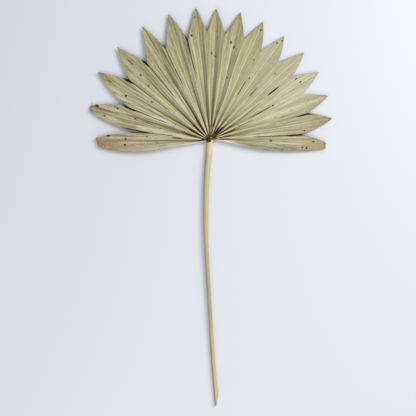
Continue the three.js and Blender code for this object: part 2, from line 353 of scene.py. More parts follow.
def finish_tree(tree, start, geometry):
    """Ends a tree: real faces with the finish on them."""
    real = result(tree, "GeometryNodeRealizeInstances", {"Geometry": geometry})
    values = {"Geometry": real, "Material": start.outputs["Finish"]}
    coated = result(tree, "GeometryNodeSetMaterial", values)
    plug(tree, coated, tree.nodes.new("NodeGroupOutput").inputs[0])
    return tree


def grow(name, tree, points, sizes, finish):
    """Runs a tree on a mesh of points and leaves its result as a plain mesh piece."""
    holder = bpy.data.objects.new(name + "_points", points)
    scene.collection.objects.link(holder)
    modifier = holder.modifiers.new(tree.name, "NODES")
    modifier.node_group = tree
    values = {**sizes, "Finish": finish}
    for item in tree.interface.items_tree:
        if item.in_out == "INPUT" and item.name in values:
            modifier[item.identifier] = values[item.name]
    depsgraph = bpy.context.evaluated_depsgraph_get()
    grown = holder.evaluated_get(depsgraph)
    mesh = bpy.data.meshes.new_from_object(grown, preserve_all_data_layers=True, depsgraph=depsgraph)
    bpy.data.objects.remove(holder)
    mesh.name = name
    mesh.materials.clear()
    mesh.materials.append(finish)
    piece = bpy.data.objects.new(name, mesh)
    scene.collection.objects.link(piece)
    return piece


def points_with(name, rows, places=None, edges=()):
    """A mesh of points, at the origin or at the places, each with the values of one row."""
    mesh = bpy.data.meshes.new(name)
    mesh.from_pydata(places or [(0, 0, 0)] * len(rows), edges, [])
    for label in rows[0]:
        values = mesh.attributes.new(label, "FLOAT", "POINT")
        values.data.foreach_set("value", [float(row[label]) for row in rows])
    return mesh


def value_of(tree, label):
    node = add(tree, "GeometryNodeInputNamedAttribute", {"Name": label}, data_type="FLOAT")
    return Field(tree, node.outputs["Attribute"])


def store(tree, geometry, label, value, domain, data_type="FLOAT"):
    values = {"Geometry": geometry, "Name": label, "Value": value}
    kind = "GeometryNodeStoreNamedAttribute"
    return result(tree, kind, values, domain=domain, data_type=data_type)


def flat_grid(tree, columns, rows):
    """A grid's mesh, its places across from -1 to 1, and along from 0 to 1."""
    size = {"Size X": 2, "Size Y": 1, "Vertices X": columns, "Vertices Y": rows}
    mesh = add(tree, "GeometryNodeMeshGrid", size).outputs["Mesh"]
    across, along, _ = split(tree, result(tree, "GeometryNodeInputPosition"))
    return mesh, across, along + 0.5


def copied(tree, points, shape, **values):
    """A copy of a shape on each point."""
    values = {"Points": points, "Instance": shape, **values}
    copies = result(tree, "GeometryNodeInstanceOnPoints", values)
    return result(tree, "GeometryNodeRealizeInstances", {"Geometry": copies})


def grid_on_points(tree, points, columns, rows):
    """Such a grid on each point."""
    mesh, across, along = flat_grid(tree, columns, rows)
    return copied(tree, points, mesh), across, along


def joined(tree, geometry):
    """Fuses points that lie in one place."""
    values = {"Geometry": geometry, "Distance": SAME_PLACE}
    return result(tree, "GeometryNodeMergeByDistance", values)


def moved(tree, geometry, place):
    return result(tree, "GeometryNodeSetPosition", {"Geometry": geometry, "Position": place})


def thickened(tree, sheet, thickness):
    """A closed plate under a sheet: its lowered copy, and walls along the rim."""
    below = vector(tree, 0, 0, thickness * -1)
    rim = result(tree, "GeometryNodeInputMeshEdgeNeighbors")
    rim = Field(tree, rim).math("LESS_THAN", 1.5)
    values = {"Mesh": sheet, "Selection": rim, "Offset": below}
    walls = add(tree, "GeometryNodeExtrudeMesh", values, mode="EDGES")
    sharp = {"Geometry": walls.outputs["Mesh"], "Selection": walls.outputs["Side"], "Shade Smooth": False}
    walled = result(tree, "GeometryNodeSetShadeSmooth", sharp)
    under = result(tree, "GeometryNodeFlipFaces", {"Mesh": sheet})
    under = result(tree, "GeometryNodeSetPosition", {"Geometry": under, "Offset": below})
    both = tree.nodes.new("GeometryNodeJoinGeometry")
    plug(tree, under, both.inputs[0])
    plug(tree, walled, both.inputs[0])
    return joined(tree, both.outputs[0])


def fold_line(tree, radius):
    """Height of the folds' bottoms above the surface: high at the hub and a little up at the tips."""
    hub = (radius - RIM).decay(HUB_LIFT_RUN) * HUB_LIFT
    tip = (radius / FURTHEST) ** 4 * (value_of(tree, "lift") + TIP_LIFT)
    return hub + tip + BED


def twisted(tree, radius, direction, twist):
    """A direction from the hub, which turns aside close to it."""
    return value_of(tree, direction) + value_of(tree, twist) * radius.decay(TWIST_RUN)


def bent(tree, radius, angle, height):
    """A place on the blade, swayed and warped a little by the drying of the whole leaf."""
    x = angle.cos() * radius
    y = angle.sin() * radius
    free = radius.within(*SWAY_STARTS)
    aside = noise(tree, (x, y, 0), 1 / WARP_SIZE, 0) - 0.5
    along = noise(tree, (x, y, 1), 1 / WARP_SIZE, 0) - 0.5
    warp = noise(tree, (x, y, 2), 1 / WARP_SIZE, 0) * WARP_HEIGHT
    return vector(
        tree,
        x + aside * free * (2 * SWAY) + HUB.x,
        y + along * free * (2 * SWAY) + HUB.y,
        height + warp * free,
    )


def in_units(row, angles, lengths):
    """The values of a table's row, with its degrees and millimetres made radians and metres."""
    values = row._asdict()
    values.update({label: math.radians(values[label]) for label in angles})
    values.update({label: values[label] * MM for label in lengths})
    return values


def lobe_rows():
    """The values that each lobe's point carries: its own, and those of the crests on its two sides."""
    rows = []
    for number, lobe in enumerate(LOBES):
        row = {"lobe": number, **in_units(lobe, LOBE_ANGLES, LOBE_LENGTHS)}
        for side, step in (("left", 0), ("right", 1)):
            crest = CRESTS[number + step]
            beside = LOBES[max(number + step - 1, 0)], LOBES[min(number + step, len(LOBES) - 1)]
            top = crest.top if side == "left" else -crest.top
            crack = crest.crack or (NOWHERE / MM, NOWHERE / MM + 1, 0)
            values = {
                "crest": math.radians(crest.direction),
                "crest_twist": math.radians((beside[0].twist + beside[1].twist) / 2),
                "level": crest.level,
                "notch": crest.notch * MM,
                "part": crest.part * MM if crest.part else NOWHERE,
                "open": crest.open * MM if crest.open else NOWHERE,
                "gap": crest.gap * MM * 0.5 if top == 0 else 0,
                "crevice": crest.gap * MM if top < 0 else 0,
                "lap": LAP if top > 0 else 0,
                "rise": LAP_RISE if top > 0 else -LAP_DROP if top < 0 else 0,
                "crack_from": crack[0] * MM,
                "crack_to": crack[1] * MM,
                "crack_width": crack[2] * MM,
            }
            row.update({label + "_" + side: value for label, value in values.items()})
        rows.append(row)
    return rows


def streak_group():
    """A group of nodes that gives how far one streak covers a place."""
    tree = bpy.data.node_groups.new("streak", "GeometryNodeTree")
    labels = ["Radius", "Turn", *(label.capitalize() for label in Streak._fields)]
    for label in labels:
        tree.interface.new_socket(label, in_out="INPUT", socket_type="NodeSocketFloat")
    tree.interface.new_socket("Share", in_out="OUTPUT", socket_type="NodeSocketFloat")
    start = tree.nodes.new("NodeGroupInput")
    radius, turn, turn_in, reach_in, turn_out, reach_out, width, tone = (
        Field(tree, start.outputs[label]) for label in labels
    )
    along = ((radius - reach_in) / (reach_out - reach_in)).at_least(-1).at_most(2)
    middle = turn_in + (turn_out - turn_in) * along.at_least(0).at_most(1)
    aside = abs(turn - middle) * radius
    faded_in = along.within(-0.5 * STREAK_FADE, STREAK_FADE)
    faded_out = along.within(1 - STREAK_FADE, 1 + 0.5 * STREAK_FADE)
    covered = aside.before(width * 0.15, width * 0.62)
    share = (faded_in - faded_out) * covered * abs(tone)
    plug(tree, share, tree.nodes.new("NodeGroupOutput").inputs[0])
    return tree


def streak_shares(tree, radius, turn):
    """How far the dark streaks and the pale ones cover each place of the blade."""
    group = streak_group()
    shares = {}
    for streak in STREAKS:
        values = in_units(streak, STREAK_ANGLES, STREAK_LENGTHS)
        values = {label.capitalize(): value for label, value in values.items()}
        values.update(Radius=radius, Turn=turn)
        share = Field(tree, result(tree, "GeometryNodeGroup", values, node_tree=group))
        pale = streak.tone > 0
        shares[pale] = shares[pale].at_least(share) if pale in shares else share
    return shares[False], shares[True]


def blade_tree():
    tree, start, size = new_tree("pleated_blade", ["Thickness"])
    grid, across, along = grid_on_points(tree, start.outputs["Geometry"], COLUMNS, ROWS)
    on_left = across.math("LESS_THAN", 0)

    def beside(label):
        right = value_of(tree, label + "_right")
        return right + (value_of(tree, label + "_left") - right) * on_left

    notch = beside("notch")
    end = value_of(tree, "reach") + across * value_of(tree, "slant")
    reach = end - (across * -1).at_least(0) ** 3 * value_of(tree, "corner")
    short = reach - (along * (FURTHEST - RIM) + RIM)
    radius = reach - short * short.math("GREATER_THAN", TIP_SNAP)
    out = abs(across)

    fold = twisted(tree, radius, "fold", "twist")
    near_hub = radius.decay(TWIST_RUN)
    crest = beside("crest") + beside("crest_twist") * near_hub
    full = abs(crest - fold)
    width = radius * full
    beyond = (radius - notch).at_least(0) / (reach - notch)
    blunt = value_of(tree, "blunt") / (reach * full)
    share = 1 - (1 - blunt) * beyond ** beside("full")
    parted = radius.within(beside("part"), beside("part") + LAP_RUN)
    opened = radius.within(beside("open"), beside("open") + GAP_RUN)
    crack_at = beside("crack_from")
    crack_share = ((radius - crack_at) / (beside("crack_to") - crack_at)).at_least(0).at_most(1)
    crack = (crack_share * math.pi).sin().at_least(0) ** 0.4 * beside("crack_width") * 0.5
    shift = (parted * beside("lap") - opened * beside("gap")) * (1 - beyond) - crack
    edge = (share + shift / width).at_least(0)
    vein = out * edge
    angle = fold - across.math("SIGN") * vein * full

    far = radius.within(20 * MM, 80 * MM)
    level = 1 + (beside("level") - 1) * far
    roundness = near_hub * 1.6 + value_of(tree, "ripple") / ROUNDING_RIPPLE + 1.1
    depth = (1 - radius.decay(PLEAT_RISE)) * PLEAT_DEPTH
    pleat = (1 - (1 - out) ** roundness) * depth * level * edge
    lapped = (parted * 0.35 + opened * 0.65) * beside("rise") * out ** 2 * (1 - beyond)
    phase = noise(tree, (value_of(tree, "lobe") * 7.3, radius * 9, on_left * 3.1), detail=1)
    wobble = noise(tree, (value_of(tree, "lobe") * 3.9, radius * 22, across * 3), detail=1)
    wave = (vein * (2 * math.pi * RIPPLES) + phase * 6 + wobble).sin()
    window = (1 - out ** 8) * (1 - (1 - out) ** 8) * radius.within(18 * MM, 50 * MM)
    ripple = wave * window * value_of(tree, "ripple") * edge.at_most(1)
    height = fold_line(tree, radius) + pleat + lapped + ripple

    place = vector(tree, across.math("SIGN") * vein, radius, value_of(tree, "lobe"))
    grid = store(tree, grid, "place", place, "CORNER", "FLOAT_VECTOR")
    uncut = radius.math("LESS_THAN", notch) * (1 - opened)
    from_edge = (1 - out) * width * edge
    grid = store(tree, grid, "cut_edge", from_edge + uncut, "POINT")
    # The crevice values are painted shadow: a dark strip on the lower lobe where another lies over it, a
    # thin line where the edges begin to lap, a dark band along each crack, and a softer halo round the
    # strips.
    past = radius.before(notch, notch + PAST_NOTCH)
    lined = radius.within(beside("part"), beside("part") + LINE_RUN)
    lap_shadow = beside("crevice").math("GREATER_THAN", 0) * LAP_SHADOW_LINE * lined
    painted_shadow = (lap_shadow + beside("crevice") * opened) * past
    grid = store(tree, grid, "crevice", painted_shadow + crack * CRACK_SHADE - from_edge, "CORNER")
    grid = store(tree, grid, "crevice_halo", painted_shadow * CREVICE_SHADE_HALO - from_edge, "CORNER")
    grid = store(tree, grid, "ripeness", radius / reach, "POINT")
    grid = store(tree, grid, "wave", wave * window, "POINT")
    wander = noise(tree, (across * 1.5, radius * 24, value_of(tree, "lobe") * 3.7)) - 0.5
    ragged = radius + wander * STREAK_RAGGED
    dark_streak, pale_streak = streak_shares(tree, ragged, angle + wander * STREAK_WANDER)
    grid = store(tree, grid, "dark_streak", dark_streak, "POINT")
    grid = store(tree, grid, "pale_streak", pale_streak, "POINT")
    for label in ("ripple", "root", *LOBE_LOOKS):
        grid = store(tree, grid, "lobe_" + label, value_of(tree, label), "FACE")
    top = joined(tree, moved(tree, grid, bent(tree, radius, angle, height)))

    return finish_tree(tree, start, thickened(tree, top, size["Thickness"]))


class Coat:
    """A material: colours laid one over another, and the grain of the surface."""

    def __init__(self, name, ground, roughness, specular):
        self.material = bpy.data.materials.new(name)
        self.material.use_nodes = True
        self.tree = self.material.node_tree
        self.shader = self.tree.nodes["Principled BSDF"].inputs
        self.shader["Roughness"].default_value = roughness
        self.shader["Specular IOR Level"].default_value = specular
        self.colour = ground

    def cover(self, share, colour):
        """Lays a colour over the others, as far as the share says."""
        self.colour = mixed(self.tree, share, self.colour, colour)

    def flecks(self, scale, detail=2.0):
        """Random values all over the piece."""
        place = add(self.tree, "ShaderNodeTexCoord").outputs["Object"]
        return noise(self.tree, place, scale, detail)

    def dried(self, grain, depth, strength):
        """The finished material, with its colours and a grain of that depth."""
        plug(self.tree, self.colour, self.shader["Base Color"])
        values = {"Strength": strength, "Distance": depth, "Height": grain}
        plug(self.tree, result(self.tree, "ShaderNodeBump", values), self.shader["Normal"])
        return self.material


def painted(tree, label):
    """A value that the mesh carries, read by a material."""
    return Field(tree, add(tree, "ShaderNodeAttribute", attribute_name=label).outputs["Fac"])


def placed(tree):
    """The three numbers of the place that the mesh carries."""
    return split(tree, add(tree, "ShaderNodeAttribute", attribute_name="place").outputs["Vector"])


def mixed(tree, share, below, above):
    """The colour below, covered by the colour above as far as the share says."""
    node = add(tree, "ShaderNodeMix", data_type="RGBA")
    by_id = {socket.identifier: socket for socket in node.inputs}
    plug(tree, share, by_id["Factor_Float"])
    plug(tree, below, by_id["A_Color"])
    plug(tree, above, by_id["B_Color"])
    return next(socket for socket in node.outputs if socket.identifier == "Result_Color")


SAGE = (0.40, 0.380, 0.188, 1)
STRAW = (0.66, 0.624, 0.40, 1)
MOSS = (0.335, 0.33, 0.155, 1)
LEAF_GREEN = (0.44, 0.47, 0.31, 1)
FADED = (0.56, 0.55, 0.43, 1)
PINK_BEIGE = (0.58, 0.475, 0.32, 1)
# The browns, olives, pales and creams below serve both as the leaf's own colours and as painted shade and
# painted highlights; the crevice colour is painted shadow, and the white of the edges is a painted
# highlight.
STREAK_BROWN_AND_SHADE = (0.15, 0.12, 0.045, 1)
STREAK_OLIVE_AND_SHADE = (0.17, 0.12, 0.014, 1)
PALE_AND_HIGHLIGHT = (0.77, 0.74, 0.55, 1)
HUB_CREAM_AND_HIGHLIGHT = (0.95, 0.80, 0.55, 1)
ROOT_BROWN_AND_SHADE = (0.016, 0.008, 0.0005, 1)
TIP_BROWN = (0.33, 0.235, 0.12, 1)
EDGE_BROWN = (0.105, 0.088, 0.048, 1)
EDGE_PALE = (0.82, 0.78, 0.64, 1)
EDGE_HIGHLIGHT = (0.96, 0.92, 0.82, 1)
CREVICE_SHADE = (0.018, 0.011, 0.002, 1)
HUB_BROWN_AND_SHADE = (0.20, 0.12, 0.022, 1)
HUB_DARK = (0.13, 0.08, 0.02, 1)


def blade_finish():
    coat = Coat("blade_skin", SAGE, roughness=0.78, specular=0.08)
    tree = coat.tree
    across, radius, lobe = placed(tree)
    far = radius / MM
    out = abs(across)
    pale, beige, green, brown = (painted(tree, "lobe_" + label) for label in LOBE_LOOKS)
    root = painted(tree, "lobe_root")
    ripple = painted(tree, "lobe_ripple") / RIPPLE_HEIGHT
    ripeness = painted(tree, "ripeness")
    wave = painted(tree, "wave")
    wander = noise(tree, (across * 1.5, radius * 24, lobe * 3.7)) - 0.5
    side = across + wander * 0.07
    left = lobe.before(4, 6)

    def streaks(count, along, detail):
        return noise(tree, (side * count, radius * along, lobe * 17.3), detail=detail)

    # The dried skin: dull green and straw in streaks, paler, pinker or greener from lobe to lobe.
    broad = streaks(3.5, 9, 1.5)
    fine = streaks(5, 9, 1.4) * 0.55 + streaks(12, 12, 1.4) * 0.45
    hair = streaks(36, 30, 2)
    patches = noise(tree, (across * 2.2, radius * 17, lobe * 5.1))
    contrast = (ripple * 0.55 + 0.4) * (2.1 - far.within(70, 110))
    coat.cover((fine.within(0.40, 0.59) - 0.5) * contrast + 0.5, STRAW)
    coat.cover(broad.within(0.46, 0.72) * contrast * 0.7, MOSS)
    coat.cover(pale.at_least(0) * ripeness.within(0.15, 0.7) * 0.7, PALE_AND_HIGHLIGHT)
    coat.cover((pale * -1).at_least(0) * 0.8, MOSS)
    # Painted shade: the lobes on the right are darker from 42 to 115 mm out.
    coat.cover(far.between(42, 60, 60, 115) * lobe.within(8.5, 10.5) * 0.22, SAGE)
    coat.cover(streaks(3, 12, 2).within(0.36, 0.64) * beige * 0.85, PINK_BEIGE)
    belt = far.between(24, 60, 112, 140) * 0.75 + 0.25
    coat.cover(patches.within(0.42, 0.62) * belt * green * 0.8, LEAF_GREEN)

    # The veins: painted shade in the furrows of the ripples and a painted highlight on their ridges, and
    # thin dark vein lines.
    furrow_shade = (wave * -1).within(0.1, 0.95) * ripple * patches.within(0.25, 0.55)
    coat.cover(furrow_shade * 0.7, STREAK_BROWN_AND_SHADE)
    ridge_highlight = wave.within(0.4, 1) * ripple * fine.within(0.3, 0.6)
    coat.cover(ridge_highlight * 0.65, PALE_AND_HIGHLIGHT)
    vein = abs(streaks(4.5, 8, 1) - 0.5).before(0.012, 0.065)
    coat.cover(vein * patches.within(0.35, 0.6) * (ripple * 0.65 + 0.15), STREAK_BROWN_AND_SHADE)
    coat.cover(hair.within(0.5, 0.75) * 0.2, MOSS)

    # The tips, which dried first.
    pale_tips = lobe.between(9.2, 10, 12.5, 13.2)
    coat.cover(ripeness.within(0.65, 0.95) * (1 - pale_tips) * 0.27, MOSS)
    coat.cover(ripeness.within(0.5, 0.85) * pale_tips * 0.3, FADED)
    dried = (ripeness + (fine - 0.5) * 0.25 + (broad - 0.5) * 0.3).within(0.80, 1.02) * brown
    coat.cover(ripeness.within(0.35, 0.9) * brown.at_most(1) * beige * 0.35, TIP_BROWN)
    coat.cover(dried * 0.9, TIP_BROWN)

    # Pale streaks, partly painted highlight, a painted highlight on the crests, spots and grit.
    dark_streak = painted(tree, "dark_streak")
    broken = hair.within(0.25, 0.5) * 0.35 + 0.65
    coat.cover(painted(tree, "pale_streak") * broken * 0.95, PALE_AND_HIGHLIGHT)
    coat.cover(out.within(0.7, 0.96) * far.between(26, 40, 70, 115) * 0.45, PALE_AND_HIGHLIGHT)
    spots = add(tree, "ShaderNodeTexVoronoi", {"Scale": 110.0, "Randomness": 1.0})
    plug(tree, add(tree, "ShaderNodeTexCoord").outputs["Object"], spots.inputs["Vector"])
    chosen = Field(tree, result(tree, "ShaderNodeSeparateColor", {"Color": spots.outputs["Color"]}))
    blotch = Field(tree, spots.outputs["Distance"]).before(0.05, chosen * 0.25)
    coat.cover(blotch * chosen.math("GREATER_THAN", 0.72) * 0.45, STREAK_BROWN_AND_SHADE)
    grit = noise(tree, (across * 16, radius * 150, lobe * 7.7), detail=3)
    gritty = ripple * 0.1 + 0.11
    coat.cover(grit.within(0.46, 0.66) * gritty, STREAK_BROWN_AND_SHADE)
    coat.cover(grit.before(0.34, 0.5) * gritty, EDGE_PALE)

    # The roots of the folds: cream crests, partly painted highlight, and brown slopes and near-black
    # bottoms, partly painted shade.
    crest = out.within(left * 0.14 + 0.4, left * 0.14 + 0.8)
    coat.cover(crest * (far.decay(15) * 2.6 - 0.12).at_least(0).at_most(1) * 0.85, HUB_CREAM_AND_HIGHLIGHT)
    rooted = radius.before(root * 0.5, root * 1.3)
    coat.cover(rooted * out.before(left * 0.12 + 0.22, left * 0.24 + 0.58) * 0.85, HUB_BROWN_AND_SHADE)
    core = out - far.before(12, 24) * (left * 0.2 + 0.14)
    coat.cover(rooted * core.before(0.09, 0.36) * 0.95, ROOT_BROWN_AND_SHADE)
    # Painted shade down the bottoms of the folds.
    valley_shade = out.before(0.04, 0.2) * far.before(50, 120) * (ripple * 0.5 + 0.28)
    coat.cover(valley_shade * 0.58, STREAK_BROWN_AND_SHADE)
    # The dark streaks: partly stains and partly painted shade, browner near the hub.
    stain_and_shade = mixed(tree, far.before(30, 60), STREAK_BROWN_AND_SHADE, HUB_BROWN_AND_SHADE)
    stain_and_shade = mixed(tree, dark_streak.within(0.35, 0.65), stain_and_shade, STREAK_OLIVE_AND_SHADE)
    stain_and_shade = mixed(tree, dark_streak.within(0.6, 0.95), stain_and_shade, ROOT_BROWN_AND_SHADE)
    coat.cover((dark_streak * broken * (dark_streak + 1)).at_most(1), stain_and_shade)
    # Painted highlight on the crests near the hub, weaker over dark streaks.
    line = out.within(0.7, 0.95) * far.between(9, 13, 24, 42)
    coat.cover(line * (0.6 - dark_streak * 0.55), HUB_CREAM_AND_HIGHLIGHT)
    coat.cover(far.before(7, 11) * 0.6, HUB_DARK)

    # The edges: a painted highlight on the two outermost near the hub, brown where cut, and painted shadow
    # where they lap or split.
    first = lobe.math("LESS_THAN", 0.5) * across.math("LESS_THAN", 0)
    last = lobe.math("GREATER_THAN", 14.5) * across.math("GREATER_THAN", 0)
    from_side = (1 - out) * far
    coat.cover((first + last) * from_side.before(4, 9) * far.before(24, 50) * 0.95, EDGE_HIGHLIGHT)
    coat.cover(painted(tree, "cut_edge").before(0.1 * MM, 0.6 * MM) * 0.65, EDGE_BROWN)
    coat.cover(ripeness.within(0.965, 0.995) * 0.25, EDGE_BROWN)
    coat.cover(painted(tree, "crevice_halo").within(0, 0.8 * MM) * 0.55, STREAK_OLIVE_AND_SHADE)
    coat.cover(painted(tree, "crevice").within(-0.2 * MM, 0.3 * MM), CREVICE_SHADE)
    return coat.dried(fine + hair * 0.6 + grit * 0.5, depth=0.14 * MM, strength=0.4)


lobe_points = points_with("lobes", lobe_rows())
blade = grow("blade_sheet", blade_tree(), lobe_points, {"Thickness": THICKNESS}, blade_finish())
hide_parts("blade")
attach(blade, "root")


# The midribs are the stiff veins along the folds, one to a lobe. They grow out of the blade, are paler
# and smoother than it, and thin out towards the tips.
RIB_SIDES = 9
RIB_ROWS = 80
RIB_RADIUS = 0.8 * MM
RIB_SUNK = 0.22 * MM
RIB_END = 0.97
RIB_STRENGTH = [0.7, 0.7, 0.6, 0.6, 0.6, 0.7, 0.8, 0.9, 0.95, 1, 1, 1, 1, 1, 0.9, 0.95]


def midrib_tree():
    tree, start, size = new_tree("midribs", ["Radius", "Sunk"])
    grid, across, along = grid_on_points(tree, start.outputs["Geometry"], RIB_SIDES, RIB_ROWS)
    radius = along * (value_of(tree, "reach") * RIB_END - RIM) + RIM
    thin = (1 - along * 0.6) * (along * (1 - along) * 60).at_most(1).at_least(0)
    tube = size["Radius"] * value_of(tree, "rib") * thin
    turn = across * math.pi
    fold = twisted(tree, radius, "fold", "twist")
    angle = fold - turn.sin() * tube / radius
    height = fold_line(tree, radius) + turn.cos() * tube - size["Sunk"]
    place = vector(tree, across, radius, value_of(tree, "lobe"))
    grid = store(tree, grid, "place", place, "CORNER", "FLOAT_VECTOR")
    grid = store(tree, grid, "lobe_root", value_of(tree, "root"), "FACE")
    return finish_tree(tree, start, joined(tree, moved(tree, grid, bent(tree, radius, angle, height))))


RIB_PALE = (0.84, 0.81, 0.65, 1)
RIB_TAN = (0.50, 0.42, 0.25, 1)


def midrib_finish():
    coat = Coat("midrib", RIB_PALE, roughness=0.55, specular=0.35)
    around, radius, lobe = placed(coat.tree)
    root = painted(coat.tree, "lobe_root")
    patches = noise(coat.tree, (radius * 60, lobe * 5.7, 0))
    coat.cover(patches.within(0.5, 0.75), RIB_TAN)
    coat.cover(radius.before(50 * MM, 95 * MM) * 0.75, RIB_TAN)
    # Near-black at the roots: painted shade deep in the folds.
    coat.cover(radius.before(root * 0.6, root * 1.6) * 0.9, ROOT_BROWN_AND_SHADE)
    grain = noise(coat.tree, (radius * 300, around * 4, 0))
    return coat.dried(grain, depth=0.1 * MM, strength=0.3)


rib_rows = [{**row, "rib": strength} for row, strength in zip(lobe_rows(), RIB_STRENGTH)]
rib_sizes = {"Radius": RIB_RADIUS, "Sunk": RIB_SUNK}
midribs = grow("midribs", midrib_tree(), points_with("ribs", rib_rows), rib_sizes, midrib_finish())
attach(midribs, "root")


# The scars are small dark scabs, where insects fed on the living leaf. They lie flat on the blade and
# stand a hair's breadth proud of it.
SCAR_HEIGHT = 0.3
SCAR_SIDES = 14
SCAR_RINGS = 2
SCAR_TOP = 0.55
SCAR_DROP = 60 * MM
SPECKS = 34
SPECK_RADII = (0.35, 0.6)
SPECK_LENGTHS = (1, 2.2)
SPECK_DIRECTIONS = (-9, 187)
SPECK_DISTANCES = (55, 185)
CRUMBLE_SHIFT = 0.9 * MM
# Direction in degrees and distance from the hub, half the width and half the length in millimetres.
Scar = namedtuple("Scar", "direction distance wide long")
SCARS = [
    (97.3, 187, 1.1, 1.6), (100.3, 160, 1.7, 2.1), (136.9, 144, 1.3, 1.8), (138.5, 124, 1.1, 1.6),
    (146.7, 106, 1.3, 1.7), (152.2, 144, 1.6, 2.0), (166.6, 78, 1.1, 1.5), (163.1, 179, 2.1, 2.9),
    (167.0, 164, 1.6, 2.0), (161.2, 148, 1.2, 1.6), (164.0, 118, 1.2, 1.6), (177.5, 154, 1.6, 3.2),
    (183.0, 129, 1.5, 2.0), (179.0, 128, 1.2, 1.5), (182.7, 81, 0.9, 1.3), (176.8, 96, 1.2, 1.6),
    (89.3, 131, 1.6, 2.1), (86.5, 127, 1.2, 1.6), (78.2, 151, 1.5, 2.4), (75.8, 145, 1.6, 2.0),
    (75.2, 98, 0.9, 1.5), (65.5, 183, 1.2, 2.0), (61.8, 138, 0.9, 1.3), (58.0, 110, 0.9, 1.6),
    (55.7, 178, 1.2, 1.5), (54.3, 185, 1.2, 1.7), (46.0, 140, 0.9, 1.3), (35.8, 159, 1.1, 1.6),
    (33.0, 162, 1.2, 1.6), (29.3, 108, 1.3, 1.7), (-0.8, 155, 1.2, 2.0), (-4.5, 145, 1.5, 1.8),
    (-4.4, 139, 1.1, 1.5), (-0.5, 91, 1.3, 2.2), (-6.6, 98, 0.8, 1.3), (-7.6, 109, 0.8, 1.2),
    (5.8, 142, 1.1, 1.6),
]


def scar_points():
    """The scars, and between them some specks that fell at random."""
    chance = random.Random(5)
    marks = [Scar(*mark) for mark in SCARS]
    for _ in range(SPECKS):
        radius = chance.uniform(*SPECK_RADII)
        direction = chance.uniform(*SPECK_DIRECTIONS)
        distance = chance.uniform(*SPECK_DISTANCES)
        marks.append(Scar(direction, distance, radius, radius * chance.uniform(*SPECK_LENGTHS)))
    rows = [in_units(mark, ["direction"], ["distance", "wide", "long"]) for mark in marks]
    return points_with("scars", rows)


def dropped_on(tree, start, drop):
    """Where rays from above meet the surface, at each point's direction and distance from the hub."""
    direction = value_of(tree, "direction")
    distance = value_of(tree, "distance")
    above = vector(tree, direction.cos() * distance + HUB.x, direction.sin() * distance + HUB.y, drop)
    target = add(tree, "GeometryNodeObjectInfo", {"Object": start.outputs["Surface"]})
    values = {"Target Geometry": target.outputs["Geometry"], "Source Position": above}
    return add(tree, "GeometryNodeRaycast", {**values, "Ray Direction": (0, 0, -1)})


def crumbled(tree, geometry, fineness, detail, amount):
    """Geometry with its points shifted at random."""
    place = result(tree, "GeometryNodeInputPosition")
    values = {"Vector": place, "Scale": fineness, "Detail": detail}
    shift = add(tree, "ShaderNodeTexNoise", values).outputs["Color"]
    shift = vector_math(tree, "SUBTRACT", shift, (0.5, 0.5, 0.5))
    shift = vector_math(tree, "SCALE", shift, amount)
    return result(tree, "GeometryNodeSetPosition", {"Geometry": geometry, "Offset": shift})


def scar_tree():
    tree, start, size = new_tree("scars", ["Drop"], surface=True)
    hit = dropped_on(tree, start, size["Drop"])
    spots = moved(tree, start.outputs["Geometry"], hit.outputs["Hit Position"])
    values = {"Geometry": spots, "Selection": 1 - Field(tree, hit.outputs["Is Hit"])}
    spots = result(tree, "GeometryNodeDeleteGeometry", values, domain="POINT")
    direction = value_of(tree, "direction")
    outwards = vector(tree, direction.cos(), direction.sin(), 0)
    axes = {"Primary Axis": hit.outputs["Hit Normal"], "Secondary Axis": outwards}
    turn = result(tree, "FunctionNodeAxesToRotation", axes, primary_axis="Z", secondary_axis="X")
    faces = {"Vertices": SCAR_SIDES, "Side Segments": SCAR_RINGS, "Fill Segments": SCAR_RINGS}
    values = {**faces, "Radius Top": SCAR_TOP, "Radius Bottom": 1, "Depth": SCAR_HEIGHT}
    scab = add(tree, "GeometryNodeMeshCone", values).outputs["Mesh"]
    wide = value_of(tree, "wide")
    girth = vector(tree, value_of(tree, "long"), wide, wide)
    real = copied(tree, spots, scab, Rotation=turn, Scale=girth)
    return finish_tree(tree, start, crumbled(tree, real, fineness=900.0, detail=1.0, amount=CRUMBLE_SHIFT))


SCAB_BLACK = (0.018, 0.012, 0.006, 1)
SCAB_BROWN = (0.11, 0.07, 0.03, 1)
SCAB_TAN = (0.24, 0.15, 0.06, 1)


def scar_finish():
    coat = Coat("scab", SCAB_BLACK, roughness=0.85, specular=0.2)
    mottle = coat.flecks(700.0, 3)
    aged = coat.flecks(55.0, 0).within(0.5, 0.62)
    coat.cover(mottle.within(0.4, 0.65), SCAB_BROWN)
    coat.cover(aged * mottle.within(0.35, 0.55) * 0.45, SCAB_TAN)
    return coat.dried(mottle, depth=0.2 * MM, strength=0.5)


scar_sizes = {"Drop": SCAR_DROP, "Surface": blade}
scars = grow("scars", scar_tree(), scar_points(), scar_sizes, scar_finish())
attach(scars, "root")


# The threads are fibres that came loose from the blade's edges when it was trimmed. They hang on by one
# end, curl a little, and are as thin as a hair.
THREAD_SIDES = 7
THREAD_ROWS = 24
THREAD_RADIUS = 0.32 * MM
THREAD_RISE = 0.8 * MM
Thread = namedtuple("Thread", "direction distance heading length curl")
THREADS = [
    Thread(190.3, 85, 215, 5.0, 50),
    Thread(-8.6, 82, -50, 8.0, 25),
    Thread(163.6, 186, 150, 5.5, -70),
]


def thread_points():
    angles = ["direction", "heading", "curl"]
    rows = [in_units(thread, angles, ["distance", "length"]) for thread in THREADS]
    return points_with("threads", rows)


